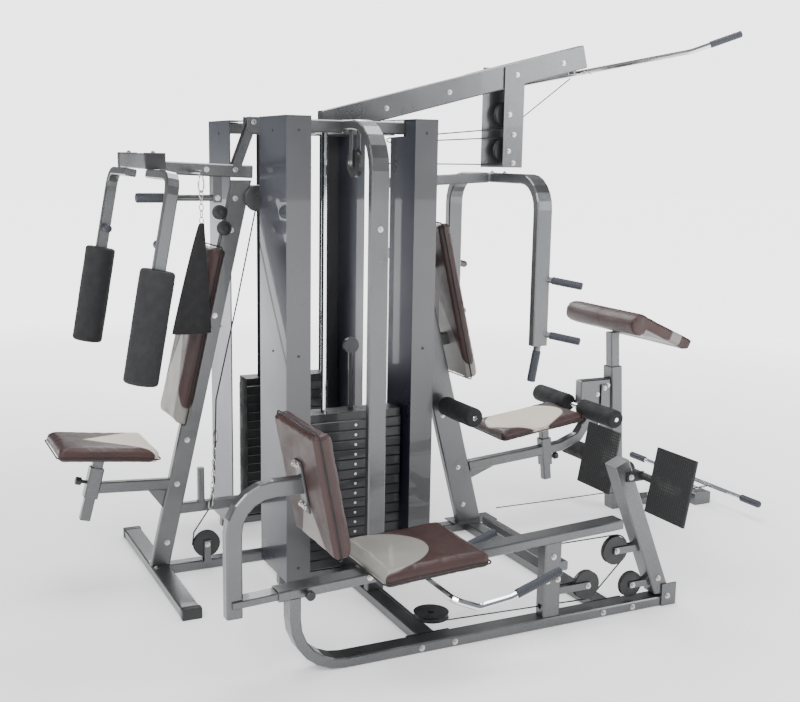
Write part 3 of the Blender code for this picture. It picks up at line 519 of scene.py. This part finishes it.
# A node group that puts one small fitting on each point, turned along the point's aim.
def fittingTree(name, look, parts):
    tree = bpy.data.node_groups.new(name, "GeometryNodeTree")
    tree.interface.new_socket("Points", in_out="INPUT", socket_type="NodeSocketGeometry")
    tree.interface.new_socket("Fittings", in_out="OUTPUT", socket_type="NodeSocketGeometry")
    source = tree.nodes.new("NodeGroupInput")
    target = tree.nodes.new("NodeGroupOutput")
    join = tree.nodes.new("GeometryNodeJoinGeometry")
    for sides, radius, depth, base in parts:
        part = tree.nodes.new("GeometryNodeMeshCylinder")
        part.inputs["Vertices"].default_value = sides
        part.inputs["Radius"].default_value = radius
        part.inputs["Depth"].default_value = depth
        shift = tree.nodes.new("GeometryNodeTransform")
        shift.inputs["Translation"].default_value = (0, 0, base + depth / 2)
        tree.links.new(part.outputs["Mesh"], shift.inputs["Geometry"])
        tree.links.new(shift.outputs["Geometry"], join.inputs["Geometry"])
    aim = tree.nodes.new("GeometryNodeInputNamedAttribute")
    aim.data_type = "FLOAT_VECTOR"
    aim.inputs["Name"].default_value = "aim"
    align = tree.nodes.new("FunctionNodeAlignRotationToVector")
    align.axis = "Z"
    tree.links.new(aim.outputs["Attribute"], align.inputs["Vector"])
    spread = tree.nodes.new("GeometryNodeInstanceOnPoints")
    tree.links.new(source.outputs["Points"], spread.inputs["Points"])
    tree.links.new(join.outputs["Geometry"], spread.inputs["Instance"])
    tree.links.new(align.outputs["Rotation"], spread.inputs["Rotation"])
    real = tree.nodes.new("GeometryNodeRealizeInstances")
    tree.links.new(spread.outputs["Instances"], real.inputs["Geometry"])
    paint = tree.nodes.new("GeometryNodeSetMaterial")
    paint.inputs["Material"].default_value = look
    tree.links.new(real.outputs["Geometry"], paint.inputs["Geometry"])
    tree.links.new(paint.outputs["Geometry"], target.inputs["Fittings"])
    return tree


def fittings(name, tree, spots, body):
    mesh = bpy.data.meshes.new(name)
    mesh.from_pydata([spot for spot, aim in spots], [], [])
    aims = mesh.attributes.new("aim", "FLOAT_VECTOR", "POINT")
    for item, (spot, aim) in zip(aims.data, spots):
        item.vector = aim
    piece = bpy.data.objects.new(name, mesh)
    bpy.context.collection.objects.link(piece)
    modifier = piece.modifiers.new("fittings", "NODES")
    modifier.node_group = tree
    piece.data = bpy.data.meshes.new_from_object(piece.evaluated_get(bpy.context.evaluated_depsgraph_get()))
    piece.modifiers.clear()
    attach(piece, body)
    return piece


# Oval links, each turned a quarter from the last.
def chain(name, start, end, body, wire=0.0022, long=0.016, wide=0.009):
    start, end = Vector(start), Vector(end)
    run = (end - start).normalized()
    side = run.orthogonal().normalized()
    other = run.cross(side)
    count = int((end - start).length / (long * 1.55))
    shape = bmesh.new()
    for i in range(count):
        middle = start.lerp(end, (i + 0.5) / count)
        flat = side if i % 2 else other
        angles = [2 * pi * k / 14 for k in range(14)]
        ring = [middle + run * (long * sin(angle)) + flat * (wide * cos(angle)) for angle in angles]
        strand(shape, ring, wire, sides=6)
    return addPiece(name, shape, zincLook, body)


# A snap clip: one pear-shaped loop of wire.
def clip(name, top, bottom, body, wide=0.012, wire=0.0032):
    top, bottom = Vector(top), Vector(bottom)
    middle, run = (top + bottom) / 2, (top - bottom) / 2
    flat = Vector((cos(0.6), sin(0.6), 0)) * wide
    angles = [2 * pi * k / 20 for k in range(20)]
    ring = [middle + run * sin(angle) + flat * (cos(angle) * (1.15 - 0.25 * sin(angle))) for angle in angles]
    shape = bmesh.new()
    strand(shape, ring, wire, sides=8)
    return addPiece(name, shape, zincLook, body)


def endCap(shape, low, high, lip=0.004):
    size = Vector(high) - Vector(low)
    middle = (Vector(high) + Vector(low)) / 2
    place = Matrix.Translation(middle) @ Matrix.Diagonal((*size, 1))
    made = bmesh.ops.create_cube(shape, size=1, matrix=place)
    edges = {edge for vertex in made["verts"] for edge in vertex.link_edges}
    bmesh.ops.bevel(shape, geom=list(edges), offset=lip, segments=3, profile=0.6, affect="EDGES")


slotOf = {entry["node"]: entry["material_slot"] for entry in frame["record"]["subparts"]}
silverLook = silverCoat()
coverLook = coverCoat()
weightLook = weightCoat()
chromeLook = chromePlate()
zincLook = zincPlate()
foamLook = closedFoam()
gripLook = gripRubber()
plasticLook = mouldedPlastic()
treadLook = treadRubber()
webLook = wovenWebbing()
pipingLook = closedFoam("pipingVinyl")
slotLooks = {"frame_silver": silverLook, "cover_navy": coverLook, "weight_black": weightLook,
             "chrome": chromeLook, "rubber_tread": treadLook, "plastic_black": plasticLook,
             "cable_black": plasticLook, "strap_black": webLook, "foam_black": foamLook,
             "upholstery": pipingLook}
for node, slotName in slotOf.items():
    paintNode(slotLooks[slotName], node)
print("materials done", len(slotOf), "nodes")

beige = {"dark": (0.17, 0.16, 0.145), "light": (0.30, 0.285, 0.26)}
cream = {"dark": (0.52, 0.44, 0.36), "light": (0.76, 0.68, 0.58)}
padStyles = [
    {"name": "leftBackPad", "node": "left_back_pad", "tilt": radians(13.0), "lies": False, "front": -1,
     "body": "machine", "cap": 0.010, "insert": {**beige, "shape": "wedge", "from": 0.02, "slope": -0.42}},
    {"name": "rightBackPad", "node": "right_back_pad", "tilt": radians(-13.5), "lies": False, "front": 1,
     "body": "machine", "cap": 0.010, "insert": {**beige, "shape": "wedge", "from": 0.02, "slope": -0.42}},
    {"name": "frontBackPad", "node": "front_back_pad", "tilt": radians(-11.0), "lies": False, "front": 1,
     "body": "front_backrest", "cap": 0.010,
     "insert": {**beige, "shape": "wedge", "from": -0.02, "slope": -0.60}},
    {"name": "leftSeatPad", "node": "left_seat_pad", "tilt": radians(6.0), "lies": True, "front": 1,
     "body": "left_seat", "cap": 0.009, "insert": {**cream, "shape": "wedge", "from": -0.09, "slope": 0.62}},
    {"name": "rightSeatPad", "node": "right_seat_pad", "tilt": radians(-7.4), "lies": True, "front": 1,
     "body": "right_seat", "cap": 0.008, "insert": {**cream, "shape": "arch", "from": -0.02, "squash": 1.3,
                                                    "reach": 0.215}},
    {"name": "frontSeatPad", "node": "front_seat_pad", "tilt": radians(-2.75), "lies": True, "front": 1,
     "body": "machine", "cap": 0.009, "insert": {**beige, "shape": "arch", "from": -0.225, "squash": 1.35,
                                                 "reach": 0.27}},
    {"name": "armCurlPad", "node": "preacher_pad", "tilt": radians(25.0), "lies": True, "front": 1,
     "fill": 0.9, "body": "arm_curl", "cap": 0.007, "piping": False,
     "insert": {**beige, "shape": "band", "from": 0.10, "reach": 0.035}},
]
for style in padStyles:
    pad(style)

rollerPair("rearRollers", "rear_rollers", "machine", 0.060)
rollerPair("kneeRollers", "knee_rollers", "machine", 0.060)
rollerPair("lowerRollers", "lower_rollers", "developer", 0.062)
for side, body in (("near", "pec_near"), ("far", "pec_far")):
    node = f"pec_foam_{side}"
    low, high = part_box(node)
    radius = (high[1] - low[1]) / 2
    middle = (low[1] + high[1]) / 2
    lean = Vector((-0.148, 0, -0.790)).normalized()
    reach = Vector((radius * -lean.z, 0, radius * -lean.x))
    top = Vector((high[0] - reach.x, middle, high[2] - reach.z * 0.9))
    bottom = Vector((low[0] + reach.x, middle, low[2] + reach.z * 0.9))
    shape = bmesh.new()
    foamRoll(shape, top, bottom, radius - 0.0014)
    piece = addPiece(f"pecFoam{side.title()}", shape, foamLook, body)
    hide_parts(node)
print("soft pieces done")

boltTree = fittingTree("bolts", zincLook, [(20, 0.0125, 0.0018, 0.0), (6, 0.0088, 0.0062, 0.0018),
                                           (16, 0.0045, 0.0030, 0.0080)])
screwTree = fittingTree("screws", plasticLook, [(16, 0.0062, 0.0016, 0.0), (6, 0.0030, 0.0014, 0.0016)])
holeTree = fittingTree("holes", zincLook, [(18, 0.0060, 0.0012, 0.0)])

toFront, toBack, toTop = (0, -1, 0), (0, 1, 0), (0, 0, 1)
toLeft, toRight = (-1, 0, 0), (1, 0, 0)


# Height of the sloping lat beam's middle line over x.
def beamHeight(x):
    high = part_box("lat_beam")[1]
    rise, halfDepth, slant = 0.2586, 0.056, 1.033
    return high[2] - halfDepth * slant - (high[0] - 0.014 - x) * rise - 0.002


postLow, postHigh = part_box("lat_post")
footLow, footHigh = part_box("left_foot_bar")
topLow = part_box("top_frame")[0]
pressFace = mainPlaneY - 0.040
machineBolts = []
for x in (0.30, 0.63, 1.00, 1.27):
    machineBolts += [((x, -0.0300, beamHeight(x)), toFront), ((x, 0.0300, beamHeight(x)), toBack)]
for x, z in ((0.998, 2.297), (0.962, 2.106), (0.962, 1.930), (0.990, 2.010), (0.990, 1.872)):
    machineBolts += [((x, postLow[1], z), toFront), ((x, postHigh[1], z), toBack)]
for x in (-0.076, 0.070, 0.779, 0.930):
    machineBolts.append(((x, pressFace, 0.0215), toFront))
for x, z in ((-0.30, 0.345), (0.500, 0.200), (0.550, 0.200), (0.525, 0.300)):
    machineBolts.append(((x, pressFace + (0.0 if z > 0.31 else 0.010), z), toFront))
for y in (-0.045, 0.045):
    machineBolts.append(((footLow[0] + 0.018, y, footHigh[2]), toTop))
for x, z in ((-0.765, 0.150), (-0.715, 0.420), (-0.665, 0.620),
             (-0.530, 1.180), (-0.450, 1.560), (-0.430, 1.700)):
    machineBolts += [((x, -0.0200, z), toFront), ((x, 0.0200, z), toBack)]
for x, z in ((0.770, 0.140), (0.735, 0.340), (0.640, 0.620), (0.560, 1.000), (0.455, 1.400)):
    machineBolts += [((x, -0.0200, z), toFront), ((x, 0.0200, z), toBack)]
for x, z in ((1.640, 0.700), (1.575, 0.655)):
    machineBolts += [((x, -0.0280, z), toFront), ((x, 0.0280, z), toBack)]
for z in (0.12, 0.42):
    machineBolts.append(((1.730 - 0.0655 * z, -0.0400, z), toFront))
for x in (-0.330, 0.330):
    machineBolts.append(((x, topLow[1] + 0.010, 2.018), toFront))
machineBolts += [((-0.020, -0.6700, 0.120), toFront), ((-0.020, -0.6700, 1.600), toFront)]
pivot = Vector(joints["chest_press"]["pos_m"])
for side, aim in ((-1, toFront), (1, toBack)):
    machineBolts.append(((pivot.x, side * 0.0335, pivot.z), aim))
hinge = Vector(joints["leg_press"]["pos_m"])
for side, aim in ((-1, toFront), (1, toBack)):
    machineBolts.append(((hinge.x - 0.010, mainPlaneY + side * 0.0465, hinge.z + 0.020), aim))
for name in ("post_pulley_spin", "left_low_pulley_spin"):
    spot = Vector(joints[name]["pos_m"])
    for side, aim in ((-1, toFront), (1, toBack)):
        machineBolts.append(((spot.x, spot.y + side * 0.0197, spot.z), aim))
spot = Vector(joints["arch_pulley_spin"]["pos_m"])
machineBolts += [((spot.x - 0.0195, spot.y, spot.z), toLeft), ((spot.x + 0.0195, spot.y, spot.z), toRight)]
fittings("machineBolts", boltTree, machineBolts, "machine")

wheel = Vector(joints["lever_pulley_spin"]["pos_m"])
plateAxis = Vector(joints["footplate_tilt"]["pos_m"])
leverBolts = [((wheel.x, wheel.y + side * 0.0195, wheel.z), aim)
              for side, aim in ((-1, toFront), (1, toBack))]
leverBolts.append(((1.060, mainPlaneY - 0.039, 0.130), toFront))
fittings("leverBolts", boltTree, leverBolts, "lever")
plateBolts = [((plateAxis.x, mainPlaneY + side * 0.0465, plateAxis.z), aim)
              for side, aim in ((-1, toFront), (1, toBack))]
fittings("footplateBolts", boltTree, plateBolts, "foot_rest")
beamLow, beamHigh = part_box("press_beam")
pressBolts = []
for side in (-1, 1):
    pressBolts.append(((-0.842, side * 0.225, 1.892), toTop))
for x in (-0.780, -0.560, -0.430):
    pressBolts.append(((x, -0.0250, 1.826), toFront))
pressBolts += [((-0.510, -0.018, 1.702), toFront), ((-0.510, 0.018, 1.702), toBack)]
fittings("pressBolts", boltTree, pressBolts, "press_frame")
armAxis = Vector(joints["u_arm_press"]["pos_m"])
fittings("pressArmBolts", boltTree, [((armAxis.x + 0.012, -0.060, armAxis.z + 0.0225), toTop),
                                     ((armAxis.x + 0.012, 0.060, armAxis.z + 0.0225), toTop)],
         "press_u_arm")
legAxis = Vector(joints["leg_curl"]["pos_m"])
fittings("developerBolts", boltTree, [((legAxis.x, side * 0.038, legAxis.z), aim)
                                      for side, aim in ((-1, toFront), (1, toBack))], "developer")
fittings("backrestBolts", boltTree, [((-0.566 + 0.19 * (0.725 - z), mainPlaneY - side * 0.020, z), toLeft)
                                     for side in (-1, 1) for z in (0.645, 0.800)], "front_backrest")

coverScrews = []
for name in ("cover_near_left", "cover_near_right", "cover_far_left", "cover_far_right"):
    low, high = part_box(name)
    for z in (low[2] + 0.06, (low[2] + high[2]) / 2, high[2] - 0.06):
        face = (low[1], toFront) if "near" in name else (high[1], toBack)
        coverScrews.append((((low[0] + high[0]) / 2, face[0], z), face[1]))
        outer = (low[0], toLeft) if "left" in name else (high[0], toRight)
        coverScrews.append(((outer[0], (low[1] + high[1]) / 2, z), outer[1]))
fittings("coverScrews", screwTree, coverScrews, "machine")

# One selector hole in the middle of each plate's front edge.
stack = {"pitch": 0.045, "floor": 0.062, "restPlates": 11, "liftPlates": 4,
         "rearY": 0.540, "halfDepth": 0.065}
plateHoles = []
for front in (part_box("front_rest_plates")[0][1], stack["rearY"] - stack["halfDepth"]):
    for number in range(stack["restPlates"]):
        plateHoles.append(((0.0, front, stack["floor"] + stack["pitch"] * (number + 0.5)), toFront))
fittings("selectorHoles", holeTree, plateHoles, "machine")
for name, body in (("front_lift_plates", "front_weights"), ("rear_lift_plates", "rear_weights")):
    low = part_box(name)[0]
    spots = [((0.0, low[1], low[2] + stack["pitch"] * (number + 0.5)), toFront)
             for number in range(stack["liftPlates"])]
    fittings(name.split("_")[0] + "LiftHoles", holeTree, spots, body)
print("bolts, screws and selector holes done", len(machineBolts), "bolts on the fixed machine")

caps = bmesh.new()
wall = 0.0022
for inner, outer in ((footLow[1] - 0.0015, footLow[1] + 0.036), (footHigh[1] - 0.036, footHigh[1] + 0.0015)):
    low = (footLow[0] - wall, inner, footLow[2] + 0.0004)
    high = (footHigh[0] + wall, outer, footHigh[2] + wall)
    endCap(caps, low, high)
addPiece("footBarCaps", caps, plasticLook, "machine")
caps = bmesh.new()
for inner, outer in ((beamLow[1] - 0.0015, beamLow[1] + 0.030), (beamHigh[1] - 0.030, beamHigh[1] + 0.0015)):
    endCap(caps, (-0.882 - wall, inner, 1.828 - 0.0001), (-0.802 + wall, outer, 1.892 + wall))
addPiece("pressCrossCaps", caps, plasticLook, "press_frame")

nearEnd, nearBend = Vector((1.950, -0.530, 2.505)), Vector((1.750, -0.410, 2.420))
farEnd, farBend = Vector((1.022, 0.601, 2.258)), Vector((1.110, 0.370, 2.250))
for name, end, bend in (("latGripNear", nearEnd, nearBend), ("latGripFar", farEnd, farBend)):
    run = (bend - end).normalized()
    grip(name, end - run * 0.003, end + run * 0.155, 0.0165, "pulldown_bar")
rowLow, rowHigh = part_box("row_bar")
rowX, rowZ = (rowLow[0] + rowHigh[0]) / 2, (rowLow[2] + rowHigh[2]) / 2
for name, inner, outer in (("rowGripNear", rowLow[1] + 0.135, rowLow[1] - 0.002),
                           ("rowGripFar", rowHigh[1] - 0.135, rowHigh[1] + 0.002)):
    grip(name, (rowX, outer, rowZ), (rowX, inner, rowZ), 0.0190, "low_row")
for number, side in enumerate((-1, 1)):
    y = side * 0.430
    grip(f"armGrip{number}", (0.916, y, 1.002), (0.8888, y, 0.853), 0.0205, "press_u_arm")
    for row, height in enumerate((1.340, 1.080)):
        start = Vector((0.945, y + side * 0.010, height))
        run = Vector((0.120, side * 0.120, -0.025))
        grip(f"armPeg{number}{row}", start + run * 0.16, start + run * 1.02, 0.0180, "press_u_arm")
for side, body in ((-1, "pec_near"), (1, "pec_far")):
    x = -0.842 - 0.187 * (1.805 - 1.540)
    name = "pecPegNear" if side < 0 else "pecPegFar"
    grip(name, (x, side * 0.528, 1.540), (x, side * 0.466, 1.540), 0.0180, body)
for number, side in enumerate((-1, 1)):
    y = mainPlaneY + side * 0.245
    grip(f"handleGrip{number}", (0.413, y, 0.335), (0.215, y, 0.2715), 0.0182, "machine")
grip("pressHandGrip", (-0.742, 0, 1.702), (-0.867, 0, 1.702), 0.0215, "press_frame")

chain("leftChain", (-0.560, -0.0400, 0.335), (-0.5425, -0.0400, 0.600), "machine")
clip("leftClipLow", (-0.5600, -0.0400, 0.350), (-0.5680, -0.0400, 0.290), "machine")
clip("leftClipHigh", (-0.5400, -0.0400, 0.660), (-0.5425, -0.0400, 0.595), "machine")
hook = Vector((-0.630, -0.180, 1.8075))
clip("strapClip", hook, hook - Vector((0, 0, 0.075)), "strap", 0.015, 0.0035)
chain("strapChain", hook - Vector((0, 0, 0.070)), (-0.630, -0.180, 1.600), "strap")
clip("rowClip", (1.900, -0.084, 0.083), (1.985, -0.100, 0.083), "machine", 0.014)
chain("rowChain", (1.975, -0.098, 0.083), (2.262, -0.133, 0.093), "machine", 0.0020, 0.013, 0.008)
clip("latClip", (1.352, -0.002, 2.318), (1.410, -0.016, 2.322), "machine", 0.014)
clip("latRing", (1.398, -0.014, 2.340), (1.442, -0.022, 2.322), "pulldown_bar", 0.016)
print("caps, grips, chains and clips done")


# The press cable past the post pulley: up to the lever's wheel, round it and back to the post.
def pressCable():
    reach, radius = 0.066, 0.003
    wheelSpot = Vector(joints["lever_pulley_spin"]["pos_m"])
    postSpot = Vector(joints["post_pulley_spin"]["pos_m"])

    def onWheel(centre, angle):
        return centre + Vector((cos(radians(angle)), 0, sin(radians(angle)))) * reach

    first = onWheel(postSpot, -47)
    wrap = [onWheel(wheelSpot, angle) for angle in range(-47, 94, 14)]
    wrap.append(wheelSpot + Vector((-0.004, 0, reach)))
    last = Vector((0.568, wheelSpot.y, wheelSpot.z + reach))
    up = [first.lerp(wrap[0], i / 8) for i in range(8)]
    back = [wrap[-1].lerp(last, (i + 1) / 14) for i in range(14)]
    shape = bmesh.new()
    strand(shape, up, radius, closed=False)
    run = addPiece("pressCableUp", shape, plasticLook, None)
    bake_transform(run)
    shape = bmesh.new()
    strand(shape, [up[-1]] + wrap, radius, closed=False)
    addPiece("pressCableWrap", shape, plasticLook, "lever")
    shape = bmesh.new()
    strand(shape, list(reversed(back)) + [wrap[-1]], radius, closed=False)
    run = addPiece("pressCableBack", shape, plasticLook, None)
    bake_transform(run)


# A grooved wheel that turns about Y, one half of its profile mirrored into the other.
def spareWheel(name, spot, radius, body):
    half = [(-0.016, 0.011), (-0.012, 0.012), (-0.011, radius - 0.004),
            (-0.009, radius), (-0.004, radius - 0.006)]
    profile = half + [(-along, size) for along, size in reversed(half)]
    shape = bmesh.new()
    turn(shape, spot, (0, 1, 0), profile, 36)
    addPiece(name, shape, plasticLook, body)


# The ab strap: a padded triangle of webbing with a bound edge.
def abStrap():
    low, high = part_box("ab_strap")
    top, foot = Vector((hook.x, hook.y, 1.600)), low[2]
    rows, columns = 26, 12
    shape = bmesh.new()
    sheets = []
    for side in (-1, 1):
        sheet = []
        for i in range(rows + 1):
            down = i / rows
            z = top.z + (foot + 0.004 - top.z) * down
            left = top.x - 0.008 - (top.x - 0.008 - low[0] - 0.002) * down ** 0.9
            right = top.x + 0.008 + (high[0] - 0.002 - top.x - 0.008) * down
            row = []
            for j in range(columns + 1):
                across = j / columns
                x = left + (right - left) * across
                swell = 0.0032 + 0.0085 * sin(pi * across) ** 0.6 * (0.3 + 0.7 * down)
                fold = 0.004 * noise.noise(Vector((x * 16, z * 7, 0)))
                row.append(shape.verts.new((x, top.y + side * swell + fold, z)))
            sheet.append(row)
        sheets.append(sheet)
    for sheet in sheets:
        for first, second in zip(sheet, sheet[1:]):
            for j in range(columns):
                shape.faces.new((first[j], first[j + 1], second[j + 1], second[j]))
    edge, match = [[row[0] for row in sheet] + sheet[-1][1:] + [row[-1] for row in reversed(sheet[:-1])]
                   + sheet[0][-2:0:-1] for sheet in sheets]
    for i, corner in enumerate(edge):
        after = (i + 1) % len(edge)
        shape.faces.new((corner, edge[after], match[after], match[i]))
    rim = [vertex.co.copy() for vertex in edge]
    piece = addPiece("abStrap", shape, webLook, "strap")
    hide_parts("ab_strap")
    binding = bmesh.new()
    strand(binding, [spot + Vector((0, 0.0032, 0)) for spot in rim], 0.0042)
    addPiece("abStrapBinding", binding, webLook, "strap")


def areaLight(name, spot, aim, size, power):
    data = bpy.data.lights.new(name, "AREA")
    data.shape = "RECTANGLE"
    data.size, data.size_y = size
    data.energy = power
    lamp = bpy.data.objects.new(name, data)
    lamp.location = spot
    lamp.rotation_euler = (Vector(aim) - Vector(spot)).to_track_quat("-Z", "Y").to_euler()
    bpy.context.collection.objects.link(lamp)


def studio():
    shape = bmesh.new()
    bmesh.ops.create_grid(shape, x_segments=1, y_segments=1, size=40)
    mesh = bpy.data.meshes.new("floor")
    shape.to_mesh(mesh)
    shape.free()
    look = Look("floorPaint", 0.9)
    x, y, _ = look.split(look.place())
    far = look.maths("SQRT", x * x + y * y).ramp(1.8, 8.0)
    look.finish(look.tint(look.noise(0.4), (0.86, 0.86, 0.86), (0.90, 0.90, 0.90)))
    look.plug(look.surface.inputs["Emission Color"], look.tint(far, (0.42, 0.42, 0.42), (3.2, 3.2, 3.2)))
    look.surface.inputs["Emission Strength"].default_value = 1.0
    mesh.materials.append(look.material)
    floor = bpy.data.objects.new("floor", mesh)
    floor.location.z = cadBox[0][2] - 0.0005
    bpy.context.collection.objects.link(floor)
    world = bpy.data.worlds.new("studio")
    bpy.context.scene.world = world
    world.use_nodes = True
    tree = world.node_tree
    back = tree.nodes["Background"]
    back.inputs["Color"].default_value = (0.55, 0.57, 0.60, 1)
    back.inputs["Strength"].default_value = 0.55
    white = tree.nodes.new("ShaderNodeBackground")
    white.inputs["Color"].default_value = (1, 1, 1, 1)
    white.inputs["Strength"].default_value = 3.4
    path = tree.nodes.new("ShaderNodeLightPath")
    mix = tree.nodes.new("ShaderNodeMixShader")
    tree.links.new(path.outputs["Is Camera Ray"], mix.inputs[0])
    tree.links.new(back.outputs[0], mix.inputs[1])
    tree.links.new(white.outputs[0], mix.inputs[2])
    tree.links.new(mix.outputs[0], tree.nodes["World Output"].inputs["Surface"])
    areaLight("key", (-3.6, -4.2, 4.6), (0, -0.3, 0.9), (3.0, 2.4), 330)
    areaLight("fill", (4.2, -3.6, 3.2), (0.4, 0, 0.9), (2.6, 2.2), 130)
    areaLight("top", (0.3, 0.4, 5.4), (0.3, 0, 0.6), (4.2, 3.2), 300)
    areaLight("rim", (1.5, 4.6, 3.4), (0.2, 0, 1.0), (3.0, 2.0), 150)


def camera():
    yaw, pitch, roll = radians(25.993), radians(9.935), radians(-0.972)
    ahead = Vector((sin(yaw) * cos(pitch), cos(yaw) * cos(pitch), -sin(pitch)))
    right = Vector((cos(yaw), -sin(yaw), 0))
    down = ahead.cross(right)
    across = right * cos(roll) + down * sin(roll)
    below = down * cos(roll) - right * sin(roll)
    data = bpy.data.cameras.new("view")
    data.sensor_width = 36.0
    data.lens = 50.23
    view = bpy.data.objects.new("view", data)
    place = Matrix((across, -below, -ahead)).transposed().to_4x4()
    place.translation = Vector((-1.95, -4.83, 1.90))
    view.matrix_world = place
    bpy.context.collection.objects.link(view)
    bpy.context.scene.camera = view


# The lever's low wheel sits between the two arms of a short fork.
def leverFork(fork):
    x, z = fork["wheel"]
    half, thick, reach = fork["halfHeight"], fork["halfThick"], fork["armEnd"]
    spareWheel("leverLowWheel", Vector((x, mainPlaneY, z)), fork["radius"], "lever")
    arm = bmesh.new()
    for side in (-1, 1):
        y = mainPlaneY + side * fork["armOffset"]
        endCap(arm, (x - half, y - thick, z - half), (reach, y + thick, z + half), 0.0008)
    addPiece("leverLowFork", arm, silverLook, "lever")
    bolts = [((x, mainPlaneY + side * 0.0205, z), aim) for side, aim in ((-1, toFront), (1, toBack))]
    fittings("leverLowBolts", boltTree, bolts, "lever")


abStrap()
pressCable()
leverFork({"wheel": (0.940, 0.110), "radius": 0.056, "halfHeight": 0.014, "halfThick": 0.002,
           "armOffset": 0.0185, "armEnd": 1.062})
# The tower side wheel is partly painted shadow: a solid dark wheel set where a round, see-through shadow lies
# on the cover.
for name, spot, radius in (("towerSideWheel", (-0.330, -0.030, 1.700), 0.058),
                           ("pressWheelHigh", (-0.505, -0.030, 1.640), 0.032),
                           ("pressWheelLow", (-0.485, -0.030, 1.570), 0.032)):
    spareWheel(name, spot, radius, "machine")
print("strap, press cable and spare wheels done")
studio()
camera()
print("floor, lights and camera done")
